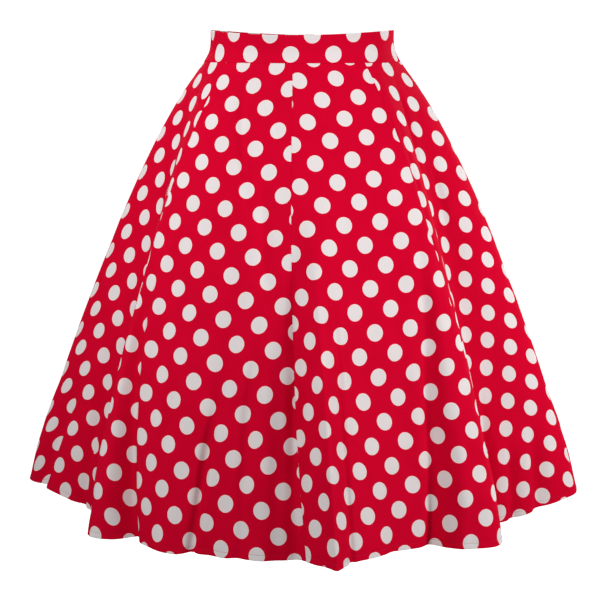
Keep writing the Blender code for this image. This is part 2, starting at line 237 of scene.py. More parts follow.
# Steps along the turned edges' outlines
SIDE_FLAT_ROWS = 4
SIDE_BEND_STEPS = 6
HEM_FLAT_ROWS = 4
HEM_BEND_STEPS = 6
HEM_TUCK_STEPS = 5
HEM_TUCK_ROWS = 3
BAND_FACE_ROWS = 26
BAND_INSIDE_ROWS = 8
BAND_TUCK_ROWS = 3
BAND_BEND_STEPS = 5
BAND_TOP_STEPS = 10
BAND_PLAIN_ROWS = 30

# The pull of the sewing on the cloth, which begins this far below the waistband
RELIEF_START = 4 * MM
PUCKER_SIZE = 0.16 * MM
PUCKER_REACH = 5 * MM
PUCKER_LENGTH = 17 * MM
SMALL_PUCKER_LENGTH = 7.3 * MM
PUCKER_SWELL_RADIANS_PER_METRE = 37
SEAM_DIP = 0.06 * MM
SEAM_DIP_WIDTH = 1.2 * MM
ROPING_SIZE = 0.17 * MM
ROPING_REACH = 7 * MM
ROPING_LENGTH = 15 * MM
SMALL_ROPING_LENGTH = 8.7 * MM
STITCH_DIP = 0.22 * MM
STITCH_DIP_WIDTH = 1.1 * MM
BAND_RIPPLE = 0.22 * MM
BAND_RIPPLE_RADIANS_PER_METRE = 58
BAND_PUCKER = 0.12 * MM
BAND_PUCKER_LENGTH = 13 * MM
BAND_PUCKER_REACH = 4 * MM

# Sewing thread as small running stitches, which rise over the cloth, dive at their ends and thin
STITCH_PITCH = 2.9 * MM
STITCH_LENGTH = 2.4 * MM
THREAD_RADIUS = 0.16 * MM
THREAD_RISE = 0.75
THREAD_DIVE = 1.1
THREAD_THINNING = 0.45
THREAD_SIDES = 6
THREAD_RINGS = 5

# The concealed zip behind the centre-back seam: two woven tapes, each with a nylon coil
TAPE_TOP = 9 * MM
TAPE_DEPTH = BAND_THICK + 0.7 * MM
TAPE_ROWS = 150
TAPE_COLUMNS = 14
COIL_TOP = 4 * MM
COIL_PITCH = 1.25 * MM
POINTS_PER_TURN = 12
COIL_WIDTH = 1.9 * MM
COIL_HEIGHT = 1.0 * MM
COIL_WIRE = 0.23 * MM
COIL_SIDE = 0.75 * MM
COIL_END_GAP = 8 * MM
TAPE_INNER_EDGE = 0.4 * MM
TAPE_STITCH_COLUMN = 3
# The stretch of cloth round the zip, in degrees to either side, and how finely it is sampled
BACK_REACH = 12
BACK_SAMPLES = 241

# Places on the bake's map, which holds the right side, the wrong side and the edge side by side
BAKE_MARGIN = 0.01
BAKE_RIGHT_WIDTH = 0.60
BAKE_WRONG_START = 0.63
BAKE_WRONG_WIDTH = 0.33
BAKE_EDGE_START = 0.975


def smooth_column(sections, column, share):
    """Cubic curve through one column of a section table, read at a share."""
    shares = np.array([s.share for s in sections])
    values = np.array([getattr(s, column) for s in sections])
    spans = np.diff(shares)
    slopes = np.diff(values) / spans
    tangents = np.concatenate((slopes[:1], (slopes[:-1] + slopes[1:]) / 2, slopes[-1:]))
    k = int(np.clip(np.searchsorted(shares, share) - 1, 0, len(spans) - 1))
    t = (share - shares[k]) / spans[k]
    rise = t * t * (3 - 2 * t)
    leave = t * (1 - t) ** 2 * spans[k] * tangents[k]
    arrive = t * t * (t - 1) * spans[k] * tangents[k + 1]
    return values[k] + (values[k + 1] - values[k]) * rise + leave + arrive


def hump(x):
    """A smooth hump, 1 in the middle and 0 from -1 and 1 outwards."""
    return np.clip(1 - x * x, 0, None) ** 2


def seam_angle(seam, share):
    """A seam's angle in degrees at a share of the length."""
    return seam.waist_angle + (seam.hem_angle - seam.waist_angle) * max(share, 0)


def ellipse(angles, half_width, half_depth):
    """Plan points and outward directions of an ellipse at angles in degrees."""
    turn = np.radians(angles)
    points = np.stack((half_width * np.sin(turn), -half_depth * np.cos(turn)), axis=-1)
    outward = np.stack((half_depth * np.sin(turn), -half_width * np.cos(turn)), axis=-1)
    return points, outward / np.linalg.norm(outward, axis=-1, keepdims=True)


def crease_relief(share, angles, radius):
    """How far the creases push one row out, in metres."""
    relief = np.zeros(len(angles))
    for crease in CREASES:
        t = (share - crease.share_a) / (crease.share_b - crease.share_a)
        from_middle = (t - 0.5) / CREASE_FADE
        if abs(from_middle) >= 1:
            continue
        middle = crease.angle_a + (crease.angle_b - crease.angle_a) * t
        away = (angles - middle + 180) % 360 - 180
        across = np.radians(away) * radius / crease.half_width
        runs_to_hem = crease.share_b >= 1
        fade = hump(min(0, from_middle) if runs_to_hem else from_middle)
        relief += crease.depth * fade * np.exp(-across * across)
    return relief


def wave_relief(share, angles):
    """The cloth's own unevenness on one row, in metres outward."""
    turn = np.radians(angles)
    bend = sum(w.size * np.sin(w.round * turn + w.down * share) for w in WANDERS)
    relief = sum(
        wave.size * np.sin(wave.round * turn + wave.down * share + wave.phase + wave.round * bend)
        for wave in WAVES
    )
    return relief * min(1, WAVES_AT_WAIST + WAVES_GROWTH * share)


def cloth_row(share, angles):
    """Points of the outer face round one row of the skirt or, if share is under 0, the band."""
    if share < 0:
        return band_row(1 + share * HEM_LENGTH / BAND_HEIGHT, angles)
    height, half_width, half_depth = (
        smooth_column(SKIRT_SECTIONS, column, share) for column in Section._fields[1:]
    )
    points, outward = ellipse(angles, half_width, half_depth)
    along = np.stack((-outward[:, 1], outward[:, 0]), axis=-1)
    out, lean, drop = np.zeros((3, len(angles)))
    for fold in FOLDS:
        if share <= fold.start:
            continue
        grown = ((share - fold.start) / (1 - fold.start)) ** fold.growth
        middle = fold.waist_angle + (fold.hem_angle - fold.waist_angle) * share
        away = (angles - middle + 180) % 360 - 180
        shape = grown * hump(away / fold.half_width)
        out += fold.depth * shape
        lean += fold.lean * shape
        drop += fold.drop * shape
    out += crease_relief(share, angles, half_width) + wave_relief(share, angles)
    points = points + outward * out[:, None] + along * lean[:, None]
    return np.column_stack((points, height - drop))


def band_row(share, angles):
    """Points of the waistband's outer face round one row, from its top (0) to its seam (1)."""
    share = max(share, 0)
    half_width, half_depth = (
        smooth_column(BAND_SECTIONS, column, share) for column in ("half_width", "half_depth")
    )
    points, _ = ellipse(angles, half_width, half_depth)
    top = BAND_TOP_FRONT + (BAND_TOP_SIDE - BAND_TOP_FRONT) * np.sin(np.radians(angles)) ** 2
    return np.column_stack((points, top + (BAND_BOTTOM - top) * share))


def arc(middle_across, middle_depth, radius, first, last, steps):
    """Points (across, depth) round part of a circle about its middle, angles in degrees."""
    turns = np.radians(np.linspace(first, last, steps + 1))
    return [(middle_across + radius * math.cos(t), middle_depth + radius * math.sin(t)) for t in turns]


def unit(vectors):
    return vectors / np.linalg.norm(vectors, axis=-1, keepdims=True)


def path_lengths(points):
    """Distance along a path of points from its first to each of them."""
    return np.concatenate(([0], np.cumsum(np.linalg.norm(np.diff(points, axis=0), axis=1))))


def read_path(places, lengths, points):
    """Points or directions read at given places along a path, coordinate by coordinate."""
    return np.column_stack([np.interp(places, lengths, points[:, c]) for c in range(3)])


def grid_normals(points):
    """Unit normals of a grid of points, from its rows and columns."""
    return unit(np.cross(np.gradient(points, axis=0), np.gradient(points, axis=1)))


def rows_on_form(row_function, shares, edges, distances):
    """Points of a sheet on the form, one row per share, and the rows' widths.

    edges gives a row's first and last angle, and distances gives, for a row's number and
    width, each column's distance from the row's first edge, measured along the cloth.
    """
    rows, widths = [], []
    for number, share in enumerate(shares):
        first, last = edges(share)
        margin = (last - first) * ROW_MARGIN
        angles = np.linspace(first - margin, last + margin, SAMPLES_PER_COLUMN * GORE_COLUMNS + 1)
        row = row_function(share, angles)
        run = path_lengths(row)
        run = run - np.interp(first, angles, run)
        width = np.interp(last, angles, run)
        rows.append(read_path(distances(number, width), run, row))
        widths.append(width)
    return np.array(rows), np.array(widths)


def mesh_object(name, places, faces, materials):
    """A smooth mesh in the scene, from lists of its points and faces."""
    data = bpy.data.meshes.new(name)
    data.from_pydata(places, [], faces)
    for material in materials:
        data.materials.append(material)
    data.shade_smooth()
    piece = bpy.data.objects.new(name, data)
    bpy.context.scene.collection.objects.link(piece)
    return piece


def sheet_object(name, outer, print_map, material, reverse):
    """A closed thin sheet from the grid of its right side, with its print and bake maps."""
    normals = grid_normals(outer)
    inner = outer - normals * CLOTH
    rows, columns = outer.shape[:2]
    count = rows * columns
    index = np.arange(count).reshape(rows, columns)
    a, b = index[:-1, :-1].ravel(), index[:-1, 1:].ravel()
    c, d = index[1:, 1:].ravel(), index[1:, :-1].ravel()
    right_side = np.column_stack((a, d, c, b))
    wrong_side = np.column_stack((a, b, c, d)) + count
    rim = np.concatenate((index[0, :], index[1:, -1], index[-1, -2::-1], index[-2:0:-1, 0]))
    after = np.roll(rim, -1)
    edge = np.column_stack((rim, after, after + count, rim + count))
    faces = np.concatenate((right_side, wrong_side, edge))
    places = np.concatenate((outer.reshape(-1, 3), inner.reshape(-1, 3)))
    piece = mesh_object(name, places.tolist(), faces.tolist(), (material, reverse))
    data = piece.data
    slots = np.zeros(len(faces), dtype=np.int32)
    slots[len(right_side):len(right_side) + len(wrong_side)] = 1
    data.polygons.foreach_set("material_index", slots)
    corners = faces.ravel()
    flat_print = np.tile(print_map.reshape(-1, 2), (2, 1))
    print_layer = data.uv_layers.new(name="print")
    print_layer.uv.foreach_set("vector", flat_print[corners].ravel())
    bake = bake_places(rows, columns, corners, len(edge))
    data.uv_layers.new(name="OFBake").uv.foreach_set("vector", bake.ravel())
    data.update()
    return piece, normals


def bake_places(rows, columns, corners, edge_faces):
    """Each face corner's place on the bake's map, for a sheet's two sides and its edge."""
    near, far = BAKE_MARGIN, 1 - BAKE_MARGIN
    down, across = np.meshgrid(np.linspace(near, far, rows), np.linspace(0, 1, columns), indexing="ij")
    spots = np.concatenate((
        np.column_stack((near + BAKE_RIGHT_WIDTH * across.ravel(), down.ravel())),
        np.column_stack((BAKE_WRONG_START + BAKE_WRONG_WIDTH * across.ravel(), down.ravel())),
    ))
    places = spots[corners]
    ends = np.linspace(near, far, edge_faces + 1)
    low, high = ends[:-1], ends[1:]
    inner, outer = np.full(edge_faces, BAKE_EDGE_START), np.full(edge_faces, far)
    strip = np.stack((
        np.column_stack((inner, low)),
        np.column_stack((inner, high)),
        np.column_stack((outer, high)),
        np.column_stack((outer, low)),
    ), axis=1).reshape(-1, 2)
    places[-len(strip):] = strip
    return places


def printed(across, along, lay):
    """Print coordinates in metres of cloth coordinates, for one lay of the print."""
    turn, rows_turn = math.radians(lay.turn), math.radians(lay.turn + lay.skew)
    u = across * math.cos(turn) + along * math.sin(turn) - lay.across
    v = -across * math.sin(rows_turn) + along * math.cos(rows_turn) - lay.bow * across**2 - lay.along
    return np.stack((u, v), axis=-1)


def side_path():
    """The turned allowance at a gore's side: (distance from the seam, depth), from its cut edge."""
    radius = FOLD_RADIUS
    flat = [(x, PAIR_DEPTH) for x in np.linspace(SEAM_ALLOWANCE, radius + 1 * MM, SIDE_FLAT_ROWS)]
    bend = arc(radius, radius, radius, 90, 270, SIDE_BEND_STEPS)
    return np.array(flat + bend)


def hem_path():
    """The double turned hem: (height over the hem, depth), from the outer face round and in."""
    big, small = HEM_DEPTH / 2, (HEM_DEPTH - CLOTH - LAYER_GAP) / 2
    top = HEM_TURN - small
    path = arc(big, big, big, 270, 90, HEM_BEND_STEPS)
    path += [(h, HEM_DEPTH) for h in np.linspace(big + 1.5 * MM, top - 1 * MM, HEM_FLAT_ROWS)]
    path += arc(top, HEM_DEPTH - small, small, 90, -90, HEM_TUCK_STEPS)
    path += [(h, CLOTH + LAYER_GAP) for h in np.linspace(top - 1 * MM, top - HEM_TUCK, HEM_TUCK_ROWS)]
    return np.array(path)


def top_path():
    """The gore's top, turned in and up inside the waistband: (height over the seam, depth)."""
    return np.array([
        (TOP_ALLOWANCE, 0.80 * MM), (4.0 * MM, 0.80 * MM), (1.2 * MM, 0.78 * MM),
        (0.3 * MM, 0.62 * MM), (-0.1 * MM, 0.35 * MM), (-0.4 * MM, 0.10 * MM),
    ])


def even_with_close_ends(count, closeness=0.07):
    """Shares from 0 to 1, closer together towards both ends."""
    t = np.linspace(0, 1, count + 1)
    return t - closeness * np.sin(2 * math.pi * t)


def gore_relief(across, along, widths, length, seed):
    """Seam puckers and hem ripples, in metres outward."""
    to_first = across + widths[:, None] / 2
    to_second = widths[:, None] / 2 - across
    to_hem = length - along
    relief = np.zeros(across.shape)
    for edge, phase in ((to_first, seed), (to_second, seed * 1.7 + 2.0)):
        pull = np.exp(-np.clip(edge, 0, None) / PUCKER_REACH)
        swell = 0.6 + 0.4 * np.sin(along * PUCKER_SWELL_RADIANS_PER_METRE + phase)
        beat = np.sin(along * 2 * math.pi / PUCKER_LENGTH + phase) * swell
        beat += 0.5 * np.sin(along * 2 * math.pi / SMALL_PUCKER_LENGTH + 2 * phase)
        relief += PUCKER_SIZE * pull * beat
        relief -= SEAM_DIP * np.exp(-((edge / SEAM_DIP_WIDTH) ** 2))
    near_hem = np.exp(-np.clip(to_hem - HEM_TURN, 0, None) / ROPING_REACH)
    roping = np.sin((across + 0.5 * to_hem) * 2 * math.pi / ROPING_LENGTH + seed)
    roping += 0.6 * np.sin((across - 0.3 * to_hem) * 2 * math.pi / SMALL_ROPING_LENGTH + 3 * seed)
    relief += ROPING_SIZE * near_hem * roping
    relief -= STITCH_DIP * np.exp(-(((to_hem - HEM_TURN + STITCH_INSET) / STITCH_DIP_WIDTH) ** 2))
    return relief


def allowance_trim(shares):
    """How much of the side allowances' width is left on each row: trimmed at the waist and hem."""
    over_hem = np.clip((1 - shares) * HEM_LENGTH - TRIM_AT_HEM, 0, TRIM_SLOPE) / TRIM_SLOPE
    under_waist = np.clip(shares * HEM_LENGTH, 0, TRIM_AT_WAIST) / TRIM_AT_WAIST
    return TRIM_LEFT + (1 - TRIM_LEFT) * np.minimum(over_hem, under_waist)


def make_gore(number, gore, cotton, reverse):
    """One gore as a sheet with turned sides, hem and top. Returns what its stitches need."""
    length = HEM_LENGTH
    top, hem = top_path(), hem_path()
    side = side_path()
    hem_start = 1 - HEM_ZONE / length
    main = np.concatenate((
        np.linspace(BELOW_BAND / length, hem_start, GORE_ROWS, endpoint=False),
        np.linspace(hem_start, 1 - HEM_DEPTH / 2 / length, HEM_ROWS, endpoint=False),
    ))
    shares = np.concatenate((-top[:, 0] / length, main, 1 - hem[:, 0] / length))
    row_depth = np.concatenate((top[:, 1], np.zeros(len(main)), hem[:, 1]))
    spread = even_with_close_ends(GORE_COLUMNS)[1:-1]
    radius = FOLD_RADIUS
    trim = allowance_trim(shares)

    def edges(share):
        return seam_angle(gore.first, share), seam_angle(gore.second, share)

    def distances(number, width):
        kept = radius + (side[:, 0] - radius) * trim[number]
        turned = np.where(side[:, 0] > radius, kept, side[:, 0])
        inner = radius + (width - 2 * radius) * spread
        return np.concatenate((turned, inner, width - turned[::-1]))

    column_depth = np.concatenate((side[:, 1], np.zeros(len(spread)), side[::-1, 1]))
    base, widths = rows_on_form(cloth_row, shares, edges, distances)
    first_row, last_row = len(top), len(top) + len(main) - 1
    sides = len(side)
    middle = slice(sides - 1, base.shape[1] - sides + 1)
    normals = base_normals(base, middle, first_row, last_row)

    across = np.array([distances(row, width) - width / 2 for row, width in enumerate(widths)])
    steps = np.linalg.norm(np.diff(base, axis=0), axis=2)
    sideways = np.diff(across, axis=0)
    along = np.sqrt(np.clip(steps**2 - sideways**2, 0, None))
    direction = np.sign(np.diff(shares))[:, None]
    along = np.vstack((np.zeros(base.shape[1]), np.cumsum(along * direction, axis=0)))
    along -= along[first_row] - BELOW_BAND
    total = along[last_row] + HEM_DEPTH / 2
    seed = 1.3 + 2.1 * number
    relief = gore_relief(across, along, widths, total[None, :], seed)
    fade = np.clip(along / RELIEF_START, 0, 1)
    depth = row_depth[:, None] + column_depth[None, :] - relief * fade
    outer = base - normals * depth[..., None]

    flat_across, flat_along = unrolled(across, along, widths, last_row)
    lay = printed(flat_across, flat_along, gore.print)
    piece, sheet_normals = sheet_object(gore.node + "_cloth", outer, lay, cotton, reverse)
    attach(piece, MAIN_BODY)
    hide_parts(gore.node)
    stitch_row = first_row + int(np.argmin(np.abs((1 - main) * length - HEM_TURN + STITCH_INSET)))
    clear = slice(sides + 1, base.shape[1] - sides - 1)
    return outer[stitch_row, clear], sheet_normals[stitch_row, clear]


def outward_normals(plain):
    """Unit normals of a plain stretch of the form, facing out of the skirt."""
    facing = -grid_normals(plain)
    return facing * np.sign(np.sum(facing[..., :2] * plain[..., :2], axis=-1).mean())


def base_normals(base, middle, first_row, last_row):
    """Outward normals of the form at a sheet's points, read where the sheet lies plain."""
    facing = outward_normals(base[first_row:last_row + 1, middle])
    row_of = np.clip(np.arange(base.shape[0]), first_row, last_row) - first_row
    column_of = np.clip(np.arange(base.shape[1]) - middle.start, 0, facing.shape[1] - 1)
    return facing[row_of][:, column_of]


def unrolled(across, along, widths, last_row):
    """Cloth coordinates that run on over the turned sides and the turned hem."""
    half = widths[:, None] / 2
    turned_columns = SIDE_FLAT_ROWS + 1 + SIDE_BEND_STEPS // 2
    turned = np.zeros(across.shape[1], dtype=bool)
    turned[:turned_columns] = True
    turned[-turned_columns:] = True
    extra = half - np.abs(across) + (math.pi - 2) * FOLD_RADIUS
    flat_across = np.where(turned, np.sign(across) * (half + extra), across)

    lowest = along[last_row]
    bottom = lowest + HEM_DEPTH / 2
    first_turned = last_row + 1
    first_tucked = first_turned + (HEM_BEND_STEPS + 1) + HEM_FLAT_ROWS + (HEM_TUCK_STEPS + 1) // 2
    flat_along = along.copy()
    flat_along[first_turned:first_tucked] = 2 * bottom - along[first_turned:first_tucked]
    flat_along[first_tucked:] = lowest + 2 * HEM_TURN - (bottom - along[first_tucked:])
    return flat_across, flat_along


def band_path():
    """The folded waistband: (height over its seam, depth), from the inner layer's turned edge
    over the folded top to the outer layer's turned edge."""
    small, big = FOLD_RADIUS, BAND_THICK / 2
    low, high = small + 1 * MM, BAND_HEIGHT - big
    path = [(h, PAIR_DEPTH) for h in np.linspace(TOP_ALLOWANCE, low, BAND_TUCK_ROWS)]
    path += arc(small, small, small, 90, 270, BAND_BEND_STEPS)
    path += [(h, 0) for h in np.linspace(low, high - 1 * MM, BAND_FACE_ROWS)]
    path += arc(high, big, big, -90, 90, BAND_TOP_STEPS)
    path += [(h, BAND_THICK) for h in np.linspace(high - 2 * MM, low, BAND_INSIDE_ROWS)]
    path += arc(small, BAND_THICK - small, small, 90, 270, BAND_BEND_STEPS)
    path += [(h, BAND_THICK - PAIR_DEPTH) for h in np.linspace(low, TOP_ALLOWANCE, BAND_TUCK_ROWS)]
    return np.array(path[::-1])


def make_band(number, band, cotton, reverse):
    """One piece of the waistband: outer layer, folded top, inner layer, both lower edges turned in."""
    small = FOLD_RADIUS
    path = band_path()
    heights, depths = path.T
    lengths = path_lengths(path)
    seam_length = lengths[-1] - TOP_ALLOWANCE - math.pi * small

    end_flat = [(BAND_END_TURN, PAIR_DEPTH), (BAND_END_TURN / 2, PAIR_DEPTH)]
    end = np.array(end_flat + arc(small, small, small, 90, 270, BAND_BEND_STEPS))
    spread = even_with_close_ends(band.columns, closeness=0.04)[1:-1]

    def edges(share):
        return band.first_angle, band.last_angle

    def distances(number, width):
        inner = small + (width - 2 * small) * spread
        return np.concatenate((end[:, 0], inner, width - end[::-1, 0]))

    shares = 1 - heights / BAND_HEIGHT
    base, widths = rows_on_form(band_row, shares, edges, distances)
    column_depth = np.concatenate((end[:, 1], np.zeros(len(spread)), end[::-1, 1]))
    plain_shares = np.linspace(0.02, 0.98, BAND_PLAIN_ROWS)
    plain, _ = rows_on_form(band_row, plain_shares, edges, distances)
    sides = len(end)
    facing = outward_normals(plain[:, sides - 1:plain.shape[1] - sides + 1])
    last_plain = BAND_PLAIN_ROWS - 1
    row_of = (shares - plain_shares[0]) / (plain_shares[-1] - plain_shares[0]) * last_plain
    row_of = np.clip(np.round(row_of), 0, last_plain).astype(int)
    column_of = np.clip(np.arange(base.shape[1]) - sides + 1, 0, facing.shape[1] - 1)
    normals = facing[row_of][:, column_of]
    across = np.array([distances(row, width) - width / 2 for row, width in enumerate(widths)])
    seed = 0.7 + 1.9 * number
    bulge = np.sin(heights[:, None] / BAND_HEIGHT * math.pi)
    ripple = BAND_RIPPLE * np.sin(across * BAND_RIPPLE_RADIANS_PER_METRE + seed) * bulge
    near_seam = np.exp(-heights[:, None] / BAND_PUCKER_REACH)
    ripple += BAND_PUCKER * near_seam * np.sin(across * 2 * math.pi / BAND_PUCKER_LENGTH + seed)
    on_inside = depths[:, None] > BAND_THICK / 2
    ends = column_depth[None, :] * np.where(on_inside, -0.5, 1)
    outer = base - normals * (depths[:, None] + ends - ripple)[..., None]
    along = np.repeat((lengths - seam_length)[:, None], base.shape[1], axis=1)
    lay = printed(across, along, band.print)
    piece, _ = sheet_object(band.node + "_cloth", outer, lay, cotton, reverse)
    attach(piece, MAIN_BODY)
    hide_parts(band.node)


def tube_faces(rings, sides, first=0):
    """Faces of a closed tube: quads between its rings of points, and a cap at either end."""
    index = first + np.arange(rings * sides).reshape(rings, sides)
    after = np.roll(index, -1, axis=1)
    faces = np.stack((index[:-1], after[:-1], after[1:], index[1:]), axis=-1).reshape(-1, 4).tolist()
    return faces + [index[0, ::-1].tolist(), index[-1].tolist()]


def thread_stitches(name, runs, material):
    """Running stitches along paths of points and normals, as one mesh of small threads."""
    sides, rings = THREAD_SIDES, THREAD_RINGS
    t = np.linspace(-1, 1, rings)
    lift = (THREAD_RADIUS * (THREAD_RISE - THREAD_DIVE * t**4))[:, None, None]
    thick = (THREAD_RADIUS * (1 - THREAD_THINNING * t**4))[:, None, None]
    around = np.linspace(0, 2 * math.pi, sides, endpoint=False)[None, :, None]
    places, faces = [], []
    for points, normals in runs:
        run = path_lengths(points)
        count = int(run[-1] // STITCH_PITCH)
        for k in range(count):
            middle = (k + 0.5) * run[-1] / count
            at = np.clip(middle + t * STITCH_LENGTH / 2, 0, run[-1])
            spine = read_path(at, run, points)
            up = unit(read_path(middle, run, normals)[0])
            ahead = unit(spine[-1] - spine[0])
            beside = np.cross(ahead, up)
            ring = spine[:, None] + up * lift + thick * (np.cos(around) * beside + np.sin(around) * up)
            faces += tube_faces(rings, sides, len(places) * sides * rings)
            places.append(ring.reshape(-1, 3))
    piece = mesh_object(name, np.concatenate(places).tolist(), faces, (material,))
    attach(piece, MAIN_BODY)
    return piece


def back_strip(shares, offsets):
    """Points of the form at distances to either side of the centre-back seam, row by row."""
    rows = []
    for share in shares:
        middle = seam_angle(CENTRE_BACK, share)
        angles = middle + np.linspace(-BACK_REACH, BACK_REACH, BACK_SAMPLES)
        row = cloth_row(share, angles)
        run = path_lengths(row)
        rows.append(read_path(offsets, run - np.interp(middle, angles, run), row))
    return np.array(rows)


def share_at_back(height):
    """The share, negative on the waistband, of a height at the centre back."""
    return (BAND_BOTTOM - height) / HEM_LENGTH


def wire_mesh(name, spine, beside, radius, material):
    """A round wire along a path, with one direction per point that the wire never runs along."""
    ahead = unit(np.gradient(spine, axis=0))
    first = unit(np.cross(ahead, beside))
    second = np.cross(first, ahead)
    around = np.linspace(0, 2 * math.pi, THREAD_SIDES, endpoint=False)[None, :, None]
    ring = spine[:, None] + radius * (np.cos(around) * first[:, None] + np.sin(around) * second[:, None])
    faces = tube_faces(len(spine), THREAD_SIDES)
    return mesh_object(name, ring.reshape(-1, 3).tolist(), faces, (material,))


def make_tapes(thread, tape_cloth):
    """The zip's two tapes and the stitches that hold them to the cloth."""
    shares = np.linspace(share_at_back(TAPE_TOP), TAPE_LENGTH_IN_SKIRT / HEM_LENGTH, TAPE_ROWS)
    inner_edge, outer_edge = TAPE_INNER_EDGE, TAPE_WIDTH / 2
    runs = []
    for side, first, last in (("right", -outer_edge, -inner_edge), ("left", inner_edge, outer_edge)):
        offsets = np.linspace(first, last, TAPE_COLUMNS)
        form = back_strip(shares, offsets)
        normals = grid_normals(form)
        outer = form - normals * TAPE_DEPTH
        along = path_lengths(form[:, 0])
        place = np.stack(np.broadcast_arrays(offsets[None, :], along[:, None]), axis=-1)
        tape, _ = sheet_object("zip_tape_" + side, outer, place, tape_cloth, tape_cloth)
        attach(tape, MAIN_BODY)
        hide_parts("zip_tape")
        column = TAPE_STITCH_COLUMN if side == "right" else TAPE_COLUMNS - 1 - TAPE_STITCH_COLUMN
        up = -normals[2:-2, column]
        runs.append((outer[2:-2, column] + up * CLOTH, up))
    stitches = thread_stitches("zip_stitches", runs, thread)


def make_coils(nylon):
    """The zip's two coils, one on each tape and half a turn apart."""
    coil_end = (TAPE_LENGTH_IN_SKIRT - COIL_END_GAP) / HEM_LENGTH
    coil_shares = np.linspace(share_at_back(COIL_TOP), coil_end, TAPE_ROWS)
    form = back_strip(coil_shares, np.array((-1 * MM, 0, 1 * MM)))
    normals = grid_normals(form)[:, 1]
    middle = form[:, 1]
    run = path_lengths(middle)
    turns = math.floor(run[-1] / COIL_PITCH) - 1
    turn = np.linspace(0, 2 * math.pi * turns, POINTS_PER_TURN * turns + 1)
    for side, hand, shift in (("right", -1, 0), ("left", 1, 0.5)):
        at = (turn / (2 * math.pi) + shift) * COIL_PITCH
        spot, out = read_path(at, run, middle), read_path(at, run, normals)
        down = unit(np.gradient(spot, axis=0))
        across = np.cross(out, down) * -hand
        reach = (COIL_SIDE + COIL_WIDTH / 2 * np.cos(turn))[:, None]
        depth = (TAPE_DEPTH + CLOTH + COIL_WIRE + COIL_HEIGHT / 2 * (1 + np.sin(turn)))[:, None]
        coil = wire_mesh("zip_coil_" + side, spot + across * reach - out * depth, down, COIL_WIRE, nylon)
        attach(coil, MAIN_BODY)


class Nodes:
    """Short calls for building a material's node tree."""

    def __init__(self, name):
        self.material = bpy.data.materials.new(name)
        self.material.use_nodes = True
        self.tree = self.material.node_tree
        self.shader = self.tree.nodes["Principled BSDF"]

    def set(self, socket, value):
        self.shader.inputs[socket].default_value = value

    def link(self, source, target):
        self.tree.links.new(source, target)

    def add(self, kind, **settings):
        node = self.tree.nodes.new("ShaderNode" + kind)
        for key, value in settings.items():
            setattr(node, key, value)
        return node

    def math(self, operation, *values):
        node = self.add("Math", operation=operation)
        for socket, value in zip(node.inputs, values):
            self.feed(socket, value)
        return node.outputs[0]

    def vector(self, operation, *values):
        node = self.add("VectorMath", operation=operation)
        for socket, value in zip(node.inputs, values):
            self.feed(socket, value)
        return node.outputs["Value"] if operation == "LENGTH" else node.outputs["Vector"]

    def feed(self, socket, value):
        if isinstance(value, bpy.types.NodeSocket):
            self.link(value, socket)
        else:
            socket.default_value = value

    def noise(self, vector, scale, detail=2.0, roughness=0.5):
        node = self.add("TexNoise")
        self.feed(node.inputs["Vector"], vector)
        node.inputs["Scale"].default_value = scale
        node.inputs["Detail"].default_value = detail
        node.inputs["Roughness"].default_value = roughness
        return node.outputs["Fac"]

    def ramp(self, value, low, high, out_low=0.0, out_high=1.0):
        node = self.add("MapRange", interpolation_type="SMOOTHSTEP", clamp=True)
        for socket, number in zip(node.inputs, (value, low, high, out_low, out_high)):
            self.feed(socket, number)
        return node.outputs["Result"]

    def mix(self, share, first, second):
        node = self.add("Mix", data_type="RGBA", clamp_factor=True)
        self.feed(node.inputs["Factor"], share)
        self.feed(node.inputs["A"], first)
        self.feed(node.inputs["B"], second)
        return node.outputs["Result"]

    def bump(self, height, strength, distance):
        node = self.add("Bump")
        node.inputs["Strength"].default_value = strength
        node.inputs["Distance"].default_value = distance
        self.link(height, node.inputs["Height"])
        self.link(node.outputs[0], self.shader.inputs["Normal"])

    def colour(self, source):
        self.link(source, self.shader.inputs["Base Color"])

    def roughness(self, source):
        self.link(source, self.shader.inputs["Roughness"])


# The print's colours on the cloth's right and wrong sides: its two reds, the dots and their rims
Ink = namedtuple("Ink", "red red_deep white rim")
RIGHT_SIDE = Ink((0.655, 0.0003, 0.0255, 1), (0.605, 0.0002, 0.0225, 1),
                 (0.780, 0.715, 0.715, 1), (0.985, 0.740, 0.740, 1))
WRONG_SIDE = Ink((0.50, 0.012, 0.028, 1), (0.45, 0.008, 0.022, 1),
                 (0.62, 0.52, 0.51, 1), (0.60, 0.40, 0.38, 1))
PAPER_SHADE = (0.56, 0.56, 0.57, 1)
THREADS_PER_METRE = 2600
TAPE_RIB = 0.62 * MM
TAPE_TURN = 1.5 * MM

# Darker and lighter tone of each small piece, and the bare metal where its lacquer is worn
THREAD_TONES = ((0.294, 0.0021, 0.0112, 1), (0.42, 0.003, 0.016, 1))
TAPE_TONES = ((0.30, 0.002, 0.010, 1), (0.47, 0.005, 0.016, 1))
NYLON_TONES = ((0.33, 0.002, 0.010, 1), (0.50, 0.006, 0.018, 1))
LACQUER_TONES = ((0.34, 0.003, 0.010, 1), (0.44, 0.005, 0.014, 1))
BARE_METAL = (0.55, 0.50, 0.48, 1)


